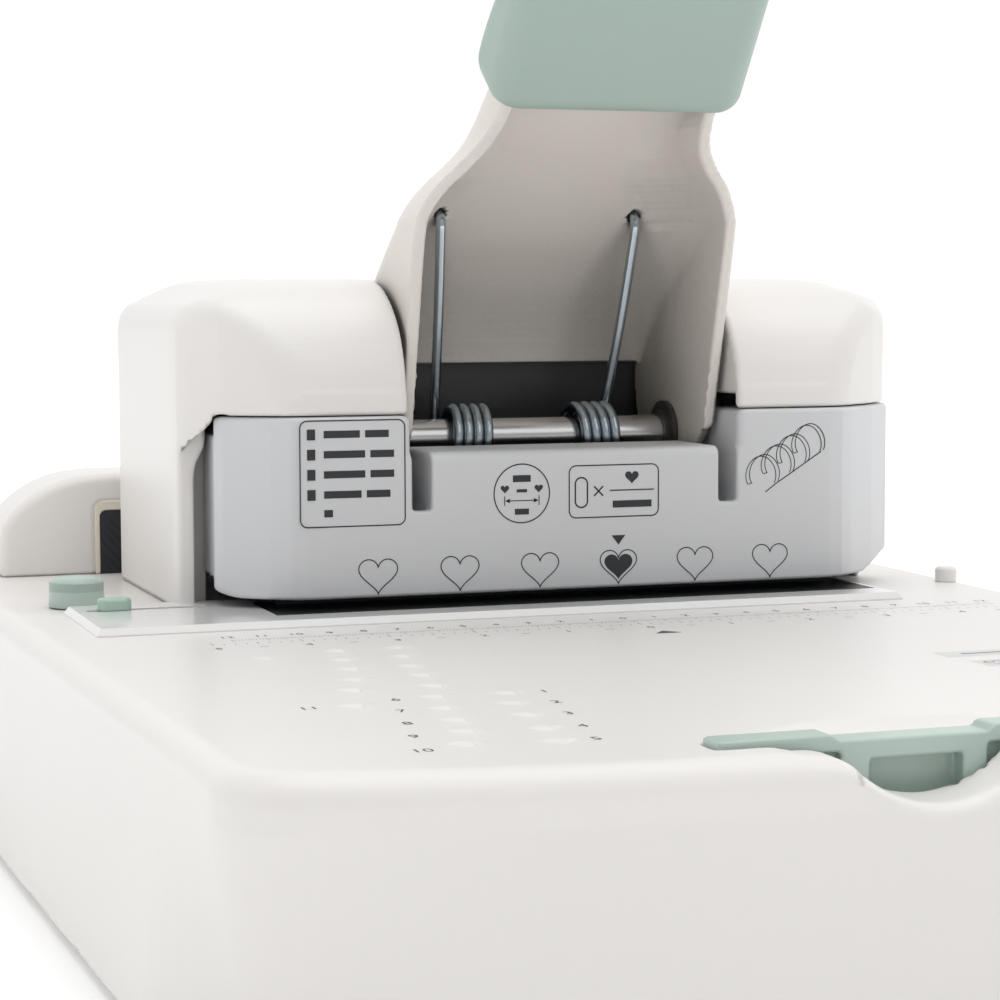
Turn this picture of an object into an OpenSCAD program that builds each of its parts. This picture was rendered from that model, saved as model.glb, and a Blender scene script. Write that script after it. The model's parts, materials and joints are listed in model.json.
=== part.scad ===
// Lever hole punch for wire binding: a wide flat base, a punching head with
// six heart-shaped punches, a tall two-hand lever and a wire closer behind.

/* [Base] */
// Half width of the base at mid depth
base_hw = 156.9; // [154:0.1:158]
// Height of the deck above the table
deck_z = 68.5; // [68:0.1:69]
// Thickness of the moulded walls
wall = 3; // [2.6:0.1:3.2]
// Radius of the edge round the deck
edge_r = 7; // [5:0.5:8]

/* [Head] */
// Centre of the head, measured from the middle of the base
hx = 13; // [12.9:0.01:13.1]
// Height of the top of the head above the table
head_top = 171; // [170:0.5:172]

/* [Lever] */
// Diameter of the lever shaft
shaft_d = 12; // [11:0.1:12]
// Length of the coloured grip
grip_l = 118; // [100:1:130]
// Wire diameter of the return springs
wire_d = 3.2; // [2.4:0.1:3.2]

/* [Punches] */
// Distance from one punch to the next
pitch = 12.7; // [12.7:0.1:12.8]
// Number of punches
punches = 6; // [4:1:6]

/* [Hidden] */

py = 82;            // pivot axis, y
pz = 118.9;         // pivot axis, z
r_punch = 8.25;     // crank radius that drives the punch bar
r_close = 10.3;     // crank radius that drives the wire closer
pin_y = 46;         // line of the punches
bottom_z = 2.5;     // underside of the base above the table
lean = 38;          // lean of the grip

// ---------- outline of the base ----------
function arc(cx, cy, r, a0, a1, n) = [for (i = [0:n]) let (a = a0 + (a1 - a0) * i / n) [cx + r * cos(a), cy + r * sin(a)]];
function hw(y) = base_hw + (y + 43) * 0.0263;
// d insets the outline, rf is the radius of the front corners, which run
// tangent into the bowed front (a 620 mm arc about [0, 399])
function outline(d, rf) = let (xc = hw(-180) - rf, yc = 399 - sqrt(pow(620 - rf, 2) - xc * xc),
    a = acos(xc / (620 - rf)), xt = xc * (620 - d) / (620 - rf)) concat(
  arc(xc, yc, rf - d, 0, -a, 9),
  [for (i = [1:11]) let (x = xt * (1 - i / 6)) [x, 399 - sqrt(pow(620 - d, 2) - x * x)]],
  arc(-xc, yc, rf - d, 180 + a, 180, 9),
  arc(-(hw(203) - 18), 203, 18 - d, 180, 90, 5),
  arc(hw(203) - 18, 203, 18 - d, 90, 0, 5));

module level(d, z, rf) translate([0, 0, z]) linear_extrude(0.02) polygon(outline(d, rf));

module base_body(d, zb, zt, er) hull() {
  level(d - 7, zb, 80);
  level(d, zt - er - 4, 22);
  for (a = [0, 18, 36, 54, 72, 90]) level(d + er * (1 - cos(a)), zt - 0.02 - er * (1 - sin(a)), 22);
}

boss_xy = [[-128, 184], [128, 184], [-138, 20], [-118, -158], [118, -158], [138, -60]];
deck_xy = [[hx - 112, 92], [hx + 112, 92], [hx - 112, 148], [hx + 112, 148], [-130, 197], [130, 197], [-60, 207], [60, 207]];
feet_xy = [[-122, 160], [122, 160], [-108, -140], [108, -140]];

module base_shell() color([0.93, 0.92, 0.9]) difference() {
  union() {
    difference() {
      base_body(0, bottom_z, deck_z, edge_r);
      // inside: wide corners below, tighter ones above
      translate([0, 0, 0]) linear_extrude(26) polygon(outline(wall - 1.4, 80));
      translate([0, 0, 25]) linear_extrude(deck_z - wall - 25) polygon(outline(wall + 0.4, 56));
    }
    for (p = boss_xy) translate([p[0], p[1], 5.5]) cylinder(h = 61.3, d = 10, $fn = 32);
    // block behind the finger notch and guides of the carry handle
    translate([0, 0, 47]) linear_extrude(20) polygon([[-54, -206], [-54, -216.8], [-27, -218.4], [0, -218.9], [27, -218.4], [52, -217], [52, -206]]);
    translate([-54, -206.5, 20]) cube([4.6, 12, 47]);
    translate([47.4, -206.5, 20]) cube([4.6, 12, 47]);
    // hub of the size knob
    translate([-132.3, 96, 52]) cylinder(h = 14.7, d = 13, $fn = 32);
  }
  // chip hole under the punches
  translate([hx - 56, 33, 60]) cube([112, 19, 10]);
  // slot of the carry handle
  translate([-48.6, -205.6, 10]) cube([95.2, 10.2, 80]);
  translate([0, -190, 0]) rotate([90, 0, 0]) linear_extrude(60) notch_profile();
  // dish and bore of the size knob
  translate([-132.3, 96, deck_z - 0.9]) cylinder(h = 4, d = 34, $fn = 96);
  translate([-132.3, 96, 40]) cylinder(h = 40, d = 6.2, $fn = 32);
  // slot of the edge slider
  translate([-136, 55.2, 60]) cube([36, 3.6, 12]);
  // hole of the edge peg
  translate([151.3, 54, 60]) cylinder(h = 12, d = 4, $fn = 24);
  // bolts of the frame
  for (s = [-1, 1], y = [70, 106]) translate([hx + s * 50, y, 60]) cylinder(h = 12, d = 5.2, $fn = 24);
  // screws of the head and of the rear housing
  for (p = deck_xy) translate([p[0], p[1], 60]) cylinder(h = 12, d = 3.4, $fn = 24);
  // chip tray opening in the right wall
  translate([140, 20.5, 21.5]) cube([40, 49, 29]);
  // screw holes of the bottom cover
  for (p = boss_xy) translate([p[0], p[1], 5]) cylinder(h = 18, d = 3, $fn = 24);
}

// the notch: straight sides that sweep into a round bottom
module notch_profile() polygon(concat([[-48, 90], [-48, 68.52]],
  [for (i = [0:16]) let (t = i / 16) [-41 + 80 * t, 56.6 + 11.9 * (0.5 + 0.5 * cos(360 * t)) * (1 - 0.25 * sin(180 * t))]],
  [[46, 68.52], [46, 90]]));

module base_bottom_cover() color([0.8, 0.8, 0.79]) difference() {
  union() {
    translate([0, 0, bottom_z]) linear_extrude(3) polygon(outline(1.8, 80));
    // runners of the chip tray
    for (y = [22, 63]) translate([-62, y, 5]) cube([212, 5, 17]);
  }
  for (p = boss_xy) {
    translate([p[0], p[1], 0]) cylinder(h = 10, d = 3.2, $fn = 24);
    translate([p[0], p[1], 0]) cylinder(h = bottom_z + 1.8, d = 6.6, $fn = 32);
  }
  for (p = feet_xy) translate([p[0], p[1], 0]) cylinder(h = bottom_z + 1.2, d = 22, $fn = 48);
}

module rubber_feet() color([0.15, 0.15, 0.15])
  for (p = feet_xy) translate([p[0], p[1], 0]) cylinder(h = bottom_z + 1.2, d = 21.6, $fn = 48);

module cover_screws() color([0.75, 0.75, 0.77]) for (p = boss_xy) translate([p[0], p[1], 0]) difference() {
  union() {
    translate([0, 0, bottom_z]) cylinder(h = 1.8, d = 6, $fn = 32);
    translate([0, 0, bottom_z]) cylinder(h = 17, d = 3, $fn = 24);
  }
  translate([-2.2, -0.4, bottom_z - 1]) cube([4.4, 0.8, 1.9]);
  translate([-0.4, -2.2, bottom_z - 1]) cube([0.8, 4.4, 1.9]);
}

module deck_screws() color([0.75, 0.75, 0.77]) for (p = deck_xy) translate([p[0], p[1], 0]) {
  translate([0, 0, 63.3]) cylinder(h = 2.2, d = 6, $fn = 32);
  translate([0, 0, 63.4]) cylinder(h = 18, d = 3, $fn = 24);
}

// ---------- frame inside the head ----------
module frame_plate() color([0.6, 0.61, 0.62]) difference() {
  translate([hx - 95, 57, 62.5]) cube([190, 59, 3]);
  for (s = [-1, 1], y = [70, 106]) translate([hx + s * 50, y, 60]) cylinder(h = 12, d = 5.2, $fn = 24);
}

module frame_bolts() color([0.5, 0.5, 0.52]) for (s = [-1, 1], y = [70, 106]) translate([hx + s * 50, y, 0]) {
  translate([0, 0, 58.5]) cylinder(h = 4, d = 9, $fn = 6);
  translate([0, 0, 58.6]) cylinder(h = 15.9, d = 5, $fn = 24);
}

module side_frame(s) difference() {
  union() {
    translate([hx + s * 59 - 2, 0, 0]) rotate([90, 0, 90]) linear_extrude(4)
      polygon([[61, 68.5], [114, 68.5], [114, 74], [100, 128], [92, 134], [72, 134], [64, 128], [61, 112]]);
    // foot under the lever
    translate([hx + s * 51 - 8, 62, 68.5]) cube([16, 52, 6]);
  }
  translate([hx + s * 59 - 5, py, pz]) rotate([0, 90, 0]) cylinder(h = 10, d = 16, $fn = 48);
  for (y = [70, 106]) translate([hx + s * 50, y, 60]) cylinder(h = 20, d = 5, $fn = 24);
}
module side_frame_left() color([0.55, 0.56, 0.57]) side_frame(-1);
module side_frame_right() color([0.55, 0.56, 0.57]) side_frame(1);

// ---------- throat ----------
module throat_plate() color([0.88, 0.88, 0.87]) difference() {
  hull() {
    translate([-140.3, 14.5, deck_z]) cube([254.1, 57.5, 0.4]);
    translate([-138.9, 15.9, deck_z]) cube([251.3, 54.7, 2.3]);
  }
  translate([hx - 98, 27.3, 60]) cube([196, 60, 20]);
  translate([-136, 55.2, 60]) cube([36, 3.6, 20]);
}

module heart2d(w) scale(w / 6) union() {
  polygon([[0, -2.6], [2.75, 0.55], [0, 2.2], [-2.75, 0.55]]);
  translate([1.45, 1.05]) circle(d = 3.0, $fn = 24);
  translate([-1.45, 1.05]) circle(d = 3.0, $fn = 24);
}

module pin_row() for (i = [0:punches - 1]) translate([hx + (i - (punches - 1) / 2) * pitch, pin_y, 0]) children();

module die_plate() color([0.3, 0.31, 0.32]) difference() {
  translate([hx - 97.3, 27.8, 68.5]) cube([194.6, 33, 2.3]);
  pin_row() translate([0, 0, 60]) linear_extrude(20) heart2d(6.1);
}

module paper_stop() color([0.2, 0.2, 0.2]) translate([hx - 92, 53, 70.8]) cube([184, 6, 2.6]);

module guide_plate() color([0.35, 0.36, 0.37]) difference() {
  translate([hx - 90, 39, 73.4]) cube([180, 32.5, 5]);
  pin_row() translate([0, 0, 70]) linear_extrude(12) heart2d(6.1);
  for (s = [-1, 1]) translate([hx + s * 84, 66, 70]) cylinder(h = 12, d = 8, $fn = 32);
  for (s = [-1, 1]) translate([hx + s * 51 - 12, 60.5, 70]) cube([24, 12, 12]);
}

module guide_posts() color([0.8, 0.8, 0.82]) for (s = [-1, 1]) translate([hx + s * 84, 66, deck_z]) cylinder(h = 40, d = 8, $fn = 32);

// ---------- moving punch bar ----------
module punch_bar() color([0.45, 0.46, 0.47]) difference() {
  union() {
    translate([hx - 90, 39.5, 87]) cube([180, 16, 10]);
    for (s = [-1, 1]) {
      translate([hx + s * 81.5 - 8.5, 39.5, 87]) cube([17, 33, 10]);
      // lug that the crank pin works in
      translate([hx + s * 76 - 2, 66, 87]) cube([4, 15, 42]);
    }
  }
  for (s = [-1, 1]) {
    translate([hx + s * 84, 66, 80]) cylinder(h = 30, d = 8.1, $fn = 32);
    translate([hx + s * 76 - 4, 71.4, pz + r_punch * sin(29) - 2.2]) cube([8, 5.8, 4.4]);
  }
  pin_row() translate([0, 0, 84]) linear_extrude(8) heart2d(6);
}

module punch_pins() color([0.7, 0.71, 0.73]) pin_row() translate([0, 0, 74.6]) linear_extrude(17.4) heart2d(6);

// ---------- head casing ----------
function plan(d) = [[-91, 36 + d], [91, 36 + d], [109.5 - d * 0.6, 52.5 + d * 0.8], [121 - d, 64 + d * 0.4], [121 - d, 156], [115 - d, 162 - d], [-(115 - d), 162 - d], [-(121 - d), 156], [-(121 - d), 64 + d * 0.4], [-(109.5 - d * 0.6), 52.5 + d * 0.8]];

// front-to-back shape of the humps
module hump_side(d) translate([hx - 125, 0, 0]) rotate([90, 0, 90]) linear_extrude(250)
  polygon([[36.5 + d, 60], [36.5 + d, 129], [38 + d, 138], [41 + d, 148], [46 + d, 156.5], [54 + d, 163.5], [64, 168 - d], [74, 170.3 - d], [84, head_top - d], [152, head_top - d], [158 - d, 169.5 - d], [162 - d, 165 - d], [162 - d, 60]]);
// left-to-right shape of the humps
module hump_front(d) translate([hx, 180, 0]) rotate([90, 0, 0]) linear_extrude(160)
  polygon([[-121 + d, 60], [-121 + d, 156 - d / 2], [-118 + d, 160.5 - d], [-98, 170 - d], [-91, head_top - d], [91, head_top - d], [98, 170 - d], [118 - d, 160.5 - d], [121 - d, 156 - d / 2], [121 - d, 60]]);

module head_solid(d) intersection() {
  translate([hx, 0, 60]) linear_extrude(150) polygon(plan(d));
  hump_side(d);
  hump_front(d);
}

module head_casing() color([0.9, 0.89, 0.87]) difference() {
  intersection() {
    head_solid(0);
    translate([-200, 0, deck_z]) cube([400, 300, 200]);
  }
  difference() {
    head_solid(3);
    // partitions beside the lever
    for (s = [-1, 1]) translate([hx + s * 55.2 - 0.8, 30, 136]) cube([1.6, 83, 40]);
    // screw bosses
    for (s = [-1, 1]) translate([hx + s * 80, 52, 128.6]) cylinder(h = 40, d = 9, $fn = 32);
    // front face of the left wall
    translate([hx - 122, 60, 60]) cube([14, 9, 70]);
    for (s = [-1, 1], y = [92, 148]) translate([hx + s * 112, y, 60]) cylinder(h = 28, d = 12.6, $fn = 32);
  }
  // well of the lever, closed behind
  translate([hx - 54.4, 30, 60]) cube([108.8, 83, 120]);
  // front cover and throat below the humps; the left wall comes forward beside the cover
  translate([hx, 79, 0]) rotate([90, 0, 0]) linear_extrude(79)
    polygon([[-114, 60], [-114, 111], [-113, 115], [-110.3, 118.5], [-110.3, 128.6], [200, 128.6], [200, 60]]);
  translate([-200, 0, 60]) cube([200 + hx - 110.3, 65.5, 68.6]);
  // foot of the left wall, over the end of the throat plate
  translate([hx - 125, 60, 60]) cube([16, 12.4, 11]);
  translate([hx - 58, 0, 60]) cube([116, 113, 68.6]);
  // window of the wire closer
  translate([hx - 88.5, 150, deck_z + 1]) cube([177, 20, 28.5]);
  // screw holes
  for (s = [-1, 1]) translate([hx + s * 80, 52, 120]) cylinder(h = 22, d = 3, $fn = 24);
  for (s = [-1, 1], y = [92, 148]) translate([hx + s * 112, y, 60]) cylinder(h = 24, d = 3, $fn = 24);
}

module front_solid(d) intersection() {
  translate([hx, 0, 60]) linear_extrude(100) polygon([[-91 + d * 0.4, 36 + d], [91 - d * 0.4, 36 + d], [109.5 - d * 0.7, 52.5 + d * 0.7], [121 - d, 64 + d * 0.4], [121 - d, 77], [-(110 - d), 77], [-(110 - d), 54.5 + d * 0.5], [-(108.6 - d * 0.7), 51.8 + d * 0.7]]);
  // lower edge steps up behind, over the open sides of the throat
  translate([hx - 125, 0, 0]) rotate([90, 0, 90]) linear_extrude(250)
    polygon([[30, 73.2], [54, 73.2], [58, 74.4], [62, 77.4], [66, 78.6], [77, 78.6], [77, 128.3 - d], [30, 128.3 - d]]);
}

module front_cover() color([0.76, 0.76, 0.77]) difference() {
  union() {
    difference() {
      front_solid(0);
      difference() {
        translate([0, 0, -1]) front_solid(2.6);
        // returns beside the notches and the ledge below the lever
        for (s = [-1, 1]) translate([hx + s * 54.6 - 1.1, 30, 97.3]) cube([2.2, 60, 60]);
      }
      // open behind
      translate([hx - 104, 64.5, 60]) cube([219, 26, 80]);
      // space between the humps
      translate([hx - 53.5, 30, 117]) cube([107, 60, 30]);
    }
    // ledge
    translate([hx - 47.2, 38.2, 114.6]) cube([94.4, 28.8, 2.4]);
    // cheeks and floors of the notches
    for (s = [-1, 1]) {
      translate([hx + s * 46.1 - 1.1, 38.2, 97.3]) cube([2.2, 28.8, 19.7]);
      translate([hx + s * 50.4 - 5, 38.2, 97.3]) cube([10, 6, 2]);
    }
  }
  // notches for the walls of the lever
  for (s = [-1, 1]) {
    translate([hx + s * 50.4 - 3.1, 30, 99.3]) cube([6.2, 60, 60]);
    // side frames
    translate([hx + s * 59 - 2.6, 60, 60]) cube([5.2, 30, 80]);
    translate([hx + s * 80, 52, 120]) cylinder(h = 12, d = 3.2, $fn = 24);
  }
}

module head_screws() color([0.75, 0.75, 0.77]) for (s = [-1, 1]) translate([hx + s * 80, 52, 0]) {
  translate([0, 0, 122.4]) cylinder(h = 2.3, d = 6, $fn = 32);
  translate([0, 0, 122.5]) cylinder(h = 15.5, d = 3, $fn = 24);
}

// ---------- lever ----------
module pivot_shaft() color([0.75, 0.75, 0.77]) translate([hx, py, pz]) rotate([0, 90, 0]) difference() {
  translate([0, 0, -72]) cylinder(h = 144, d = shaft_d, $fn = 48);
  for (s = [-1, 1]) translate([0, 0, s * 71]) cylinder(h = 4, d = 4, center = true, $fn = 24);
}

module shaft_bushes() color([0.72, 0.6, 0.35]) for (s = [-1, 1]) translate([hx + s * 59, py, pz]) rotate([0, 90, 0]) difference() {
  union() {
    translate([0, 0, -2]) cylinder(h = 4, d = 16, $fn = 48);
    translate([0, 0, s < 0 ? 2 : -4]) cylinder(h = 2, d = 20, $fn = 48);
  }
  translate([0, 0, -6]) cylinder(h = 12, d = shaft_d + 0.06, $fn = 48);
}

module shaft_washers() color([0.35, 0.35, 0.36]) for (s = [-1, 1]) translate([hx + s * 47, py, pz]) rotate([0, 90, 0]) difference() {
  union() {
    translate([0, 0, s < 0 ? -1.5 : -0.1]) cylinder(h = 1.6, d = 21, $fn = 48);
    translate([0, 0, -1.5]) cylinder(h = 3, d = 15, $fn = 48);
  }
  translate([0, 0, -4]) cylinder(h = 8, d = shaft_d, $fn = 48);
}

module crank(s) translate([hx, py, pz]) difference() {
  union() {
    rotate([0, 90, 0]) translate([0, 0, s < 0 ? -71.5 : 66.5]) cylinder(h = 5, d = 28, $fn = 64);
    // pin of the punch bar, on the outer face
    translate([0, -r_punch * cos(29), r_punch * sin(29)]) rotate([0, 90, 0]) translate([0, 0, s < 0 ? -78.4 : 71]) cylinder(h = 7.4, d = 4, $fn = 32);
    // pin of the wire closer, on the inner face
    translate([0, -r_close * sin(29), -r_close * cos(29)]) rotate([0, 90, 0]) translate([0, 0, s < 0 ? -67 : 62.2]) cylinder(h = 4.8, d = 3, $fn = 32);
  }
  rotate([0, 90, 0]) translate([0, 0, s < 0 ? -75 : 65]) cylinder(h = 10, d = shaft_d, $fn = 48);
}
module crank_left() color([0.5, 0.5, 0.52]) crank(-1);
module crank_right() color([0.5, 0.5, 0.52]) crank(1);

// side view of the lever, [y, z]
arm_out = [[49, 131.5], [42, 158.5], [37.5, 176], [33.5, 188.5], [28, 196.5], [20.5, 205.5], [5.7, 216.3], [-1.1, 225], [18.3, 240.2], [25.2, 231.6], [35, 225], [48, 215.5], [64, 204.5], [84, 187.5], [100, 172.5], [108, 158], [110, 142], [107, 125], [99, 110], [86, 103.2], [74, 104], [62, 112], [54, 121]];
arm_in = [[20, 131.5], [20, 176], [0, 205], [-20, 232], [15.3, 237.8], [22.1, 229.2], [32, 222], [45, 212.4], [61, 201.6], [81, 184.6], [96.6, 170], [104.2, 156.6], [106, 141.5], [130, 141.5], [130, 90], [20, 90]];
// front view of the lever, half outline [u, z]
arm_half = [[52.6, 90], [52.6, 187], [51.4, 192], [48, 197.5], [43, 203], [38.5, 208.5], [36.2, 214], [35.6, 220], [35.6, 250]];
function both(h) = concat(h, [for (i = [len(h) - 1:-1:0]) [-h[i][0], h[i][1]]]);
function shrink(h, d) = [for (p = h) [p[0] - d, p[1]]];

module arm_side(p, w) translate([hx - w, 0, 0]) rotate([90, 0, 90]) linear_extrude(2 * w) polygon(p);
module arm_front(h) translate([hx, 200, 0]) rotate([90, 0, 0]) linear_extrude(400) polygon(both(h));

module grip_frame() translate([hx, 1, 216.5]) rotate([lean, 0, 0]) children();

module handle_arm() color([0.85, 0.83, 0.8]) difference() {
  union() {
    difference() {
      intersection() {
        arm_side(arm_out, 60);
        arm_front(arm_half);
      }
      intersection() {
        arm_side(arm_in, 60);
        arm_front(shrink(arm_half, 4));
      }
    }
    // tang inside the grip
    grip_frame() difference() {
      translate([-35.6, 3.4, 6]) cube([71.2, 25, 92]);
      translate([-31.1, -1, -1]) cube([62.2, 24.9, 95]);
    }
    // bosses that hold the ends of the springs
    for (s = [-1, 1]) translate([hx + s * 33, py - 8.5, pz + 71.1]) rotate([-90, 0, 0]) cylinder(h = 4.5, d = 7, $fn = 32);
  }
  for (s = [-1, 1]) translate([hx + s * 33, 60, pz + 71.1]) rotate([-90, 0, 0]) cylinder(h = 17, d = 3.6, $fn = 24);
  translate([hx - 60, py, pz]) rotate([0, 90, 0]) cylinder(h = 120, d = shaft_d, $fn = 48);
}

module grip_block(w, d0, d1, r, h, rt) hull() for (x = [-w + r, w - r], y = [d0 + r, d1 - r]) {
  translate([x, y, 3]) cylinder(h = h - r - 3, r = r, $fn = 32);
  translate([x, y, 0]) cylinder(h = 3, r = r - 3, $fn = 32);
  translate([x, y, h - r]) rotate([0, 0, 0]) sphere(r = r, $fn = 32);
}

module handle_grip() color([0.65, 0.73, 0.69]) grip_frame() difference() {
  grip_block(39.5, 0, 33, 10, grip_l, 10);
  translate([-35.9, 3.1, -1]) cube([71.8, 25.6, 99.5]);
}

// ---------- springs ----------
// a coil round the shaft with one leg up to its hook and a short lower end
function unit(v) = v / norm(v);
module tube(p, r, n) {
  m = len(p);
  // frame of each ring, carried along without twist about x
  function tan_at(i) = unit(i == 0 ? p[1] - p[0] : i == m - 1 ? p[m - 1] - p[m - 2] : p[i + 1] - p[i - 1]);
  function side_at(i) = unit(cross(tan_at(i), [1, 0, 0.001]));
  pts = [for (i = [0:m - 1]) let (t = tan_at(i), a = side_at(i), b = cross(t, a)) for (k = [0:n - 1]) p[i] + r * (a * cos(360 * k / n) + b * sin(360 * k / n))];
  faces = concat([[for (k = [n - 1:-1:0]) k]], [[for (k = [0:n - 1]) (m - 1) * n + k]],
    [for (i = [0:m - 2], k = [0:n - 1]) [i * n + k, i * n + (k + 1) % n, (i + 1) * n + (k + 1) % n]],
    [for (i = [0:m - 2], k = [0:n - 1]) [i * n + k, (i + 1) * n + (k + 1) % n, (i + 1) * n + k]]);
  polyhedron(points = pts, faces = [for (f = faces) [for (j = [len(f) - 1:-1:0]) f[j]]]);
}

module spring(s) translate([hx, py, pz]) {
  // the leg comes down from its hook to the rear of the coil, which ends below the shaft
  leg = [[s * 33, -5.8, 71.1], [s * 33, -9, 71.1], [s * 33, -10.6, 69.9], [s * 33, -10.8, 67], [s * 31.6, -4, 40], [s * 29.6, 7.2, 10]];
  coil = [for (i = [0:68]) [s * (28.6 - 14.3 * i / 68), 9.35 * cos(i * 22.5), -9.35 * sin(i * 22.5)]];
  tube(concat(leg, coil, [[s * 14.2, -3.4, -9.35]]), wire_d / 2, 8);
}
module spring_left() color([0.6, 0.64, 0.68]) spring(-1);
module spring_right() color([0.6, 0.64, 0.68]) spring(1);

// ---------- wire closer ----------
module closer_slide() color([0.5, 0.5, 0.52]) difference() {
  union() {
    for (s = [-1, 1]) {
      translate([hx + s * 64.3 - 1.7, 66, 101]) cube([3.4, 82, 9.5]);
      translate([hx + s * 64.3 - 1.7, 66, 101]) cube([3.4, 18, 9.5]);
      translate([hx + s * 64.3 - 1.7, 120, 80]) cube([3.4, 28, 24]);
    }
    translate([hx - 84, 146, 73]) cube([168, 6, 22]);
  }
  // upright slots of the crank pins
  for (s = [-1, 1]) translate([hx + s * 64.3 - 3, py - r_close * sin(29) - 1.65, 106.2]) cube([6, 3.3, 5]);
}

module closer_jaw() color([0.3, 0.31, 0.32]) translate([hx - 86, 152, 71.5]) cube([172, 9.6, 25]);

module rear_solid(d) translate([0, 222 - d, 0]) rotate([90, 0, 0]) linear_extrude(44 - 2 * d)
  polygon(concat([[-144.4 + d, deck_z - 1]],
    [for (p = [[-144.4, 86.9], [-139.6, 92.1], [-134.7, 95.8], [-129.9, 98.3], [-125, 100.3], [-120, 101.7], [-115.4, 102.7], [-104.6, 103.3]]) [p[0] + d, p[1] - d]],
    [for (p = [[-104.6, 103.3], [-115.4, 102.7], [-120, 101.7], [-125, 100.3], [-129.9, 98.3], [-134.7, 95.8], [-139.6, 92.1], [-144.4, 86.9]]) [-p[0] - d, p[1] - d]],
    [[144.4 - d, deck_z - 1]]));

// inside of the housing, round its screw bosses
module rear_hollow() difference() {
  translate([-200, 170, 60]) cube([400, 60, 60]);
  for (p = [[-130, 197], [130, 197], [-60, 207], [60, 207]]) translate([p[0], p[1], 50]) cylinder(h = 70, d = 9, $fn = 32);
}

module rear_housing() color([0.9, 0.89, 0.87]) difference() {
  intersection() {
    rear_solid(0);
    translate([-200, 178, deck_z]) cube([400, 38, 60]);
  }
  intersection() {
    rear_solid(3);
    translate([-200, 181.5, 60]) cube([400, 31.5, 60]);
    rear_hollow();
  }
  for (p = [[-130, 197], [130, 197], [-60, 207], [60, 207]]) translate([p[0], p[1], 60]) cylinder(h = 24, d = 3, $fn = 24);
  // recess of the bezel
  translate([-112.2, 170, deck_z - 1]) cube([224.4, 9.6, 26.9]);
}

module closer_bezel() color([0.92, 0.9, 0.85]) difference() {
  translate([-112, 177.7, deck_z]) cube([224, 1.9, 25.7]);
  translate([-110.2, 170, deck_z - 1]) cube([220.4, 9, 23]);
}

module closer_pad() color([0.14, 0.16, 0.19]) translate([-110.1, 178.2, deck_z + 0.05]) difference() {
  cube([220.2, 0.75, 21.9]);
}

// ---------- small controls ----------
module size_knob() color([0.63, 0.71, 0.67]) translate([-132.3, 96, 0]) {
  translate([0, 0, 56]) cylinder(h = 12, d = 6.1, $fn = 32);
  translate([0, 0, deck_z - 0.7]) intersection() {
    cylinder(h = 9.6, d = 17, $fn = 64);
    translate([0, 0, -12.1]) sphere(d = 43, $fn = 96);
  }
  translate([0, 0, 50.4]) difference() {
    cylinder(h = 1.4, d = 10, $fn = 32);
  }
  translate([0, 0, 50.4]) cylinder(h = 8, d = 5, $fn = 32);
}

module edge_slider() color([0.69, 0.79, 0.73]) {
  translate([-127.6, 57, deck_z + 2.6]) hull() {
    for (x = [-2.4, 2.4]) translate([x, 0, 0]) cylinder(h = 2.1, d = 5, $fn = 32);
    for (x = [-2.4, 2.4]) translate([x, 0, 0]) cylinder(h = 3.2, d = 3.4, $fn = 32);
  }
  translate([-132.2, 55.5, 61.6]) cube([9.2, 3, 9.8]);
  translate([-132.2, 52.5, 61.6]) cube([9.2, 9, 2]);
}

module edge_peg() color([0.92, 0.91, 0.89]) translate([151.3, 54, 0]) {
  translate([0, 0, 62]) cylinder(h = 7, d = 4, $fn = 24);
  translate([0, 0, deck_z]) cylinder(h = 3.4, d = 7, $fn = 32);
  translate([0, 0, deck_z + 3.2]) intersection() {
    cylinder(h = 1.6, d = 7, $fn = 32);
    translate([0, 0, -5.4]) sphere(d = 14, $fn = 48);
  }
}

// ---------- carry handle and chip tray ----------
module carry_handle() color([0.64, 0.73, 0.68]) difference() {
  union() {
    translate([-48, -205, 27]) cube([94, 9, 41.5]);
    // stop flange below
    translate([-48.9, -205, 23.4]) cube([95.8, 12.4, 4]);
    translate([-48, -205, 19]) cube([94, 9, 9]);
    // raised ends of the top bar
    for (x = [-48, 18.5]) translate([x, -205, 68]) cube([27.5, 9, 1.9]);
  }
  // hand opening
  translate([-33, -210, 31]) cube([64, 20, 21]);
  // finger pocket of the front face
  translate([-12.4, -206, 53.9]) cube([22.8, 5, 10.2]);
}

module chip_tray() color([0.64, 0.73, 0.68]) difference() {
  union() {
    translate([-60, 21, 22]) cube([215, 48, 28]);
    translate([155, 21, 22]) cube([5.6, 48, 28]);
  }
  translate([-57.5, 23.5, 24.5]) cube([211, 43, 30]);
  // finger pull
  translate([158.4, 33, 40]) cube([6, 24, 7]);
}

base_shell();
base_bottom_cover();
rubber_feet();
cover_screws();
deck_screws();
frame_plate();
frame_bolts();
side_frame_left();
side_frame_right();
throat_plate();
die_plate();
paper_stop();
guide_plate();
guide_posts();
punch_bar();
punch_pins();
head_casing();
front_cover();
head_screws();
pivot_shaft();
shaft_bushes();
shaft_washers();
crank_left();
crank_right();
handle_arm();
handle_grip();
spring_left();
spring_right();
closer_slide();
closer_jaw();
rear_housing();
closer_bezel();
closer_pad();
size_knob();
edge_slider();
edge_peg();
carry_handle();
chip_tray();
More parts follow.
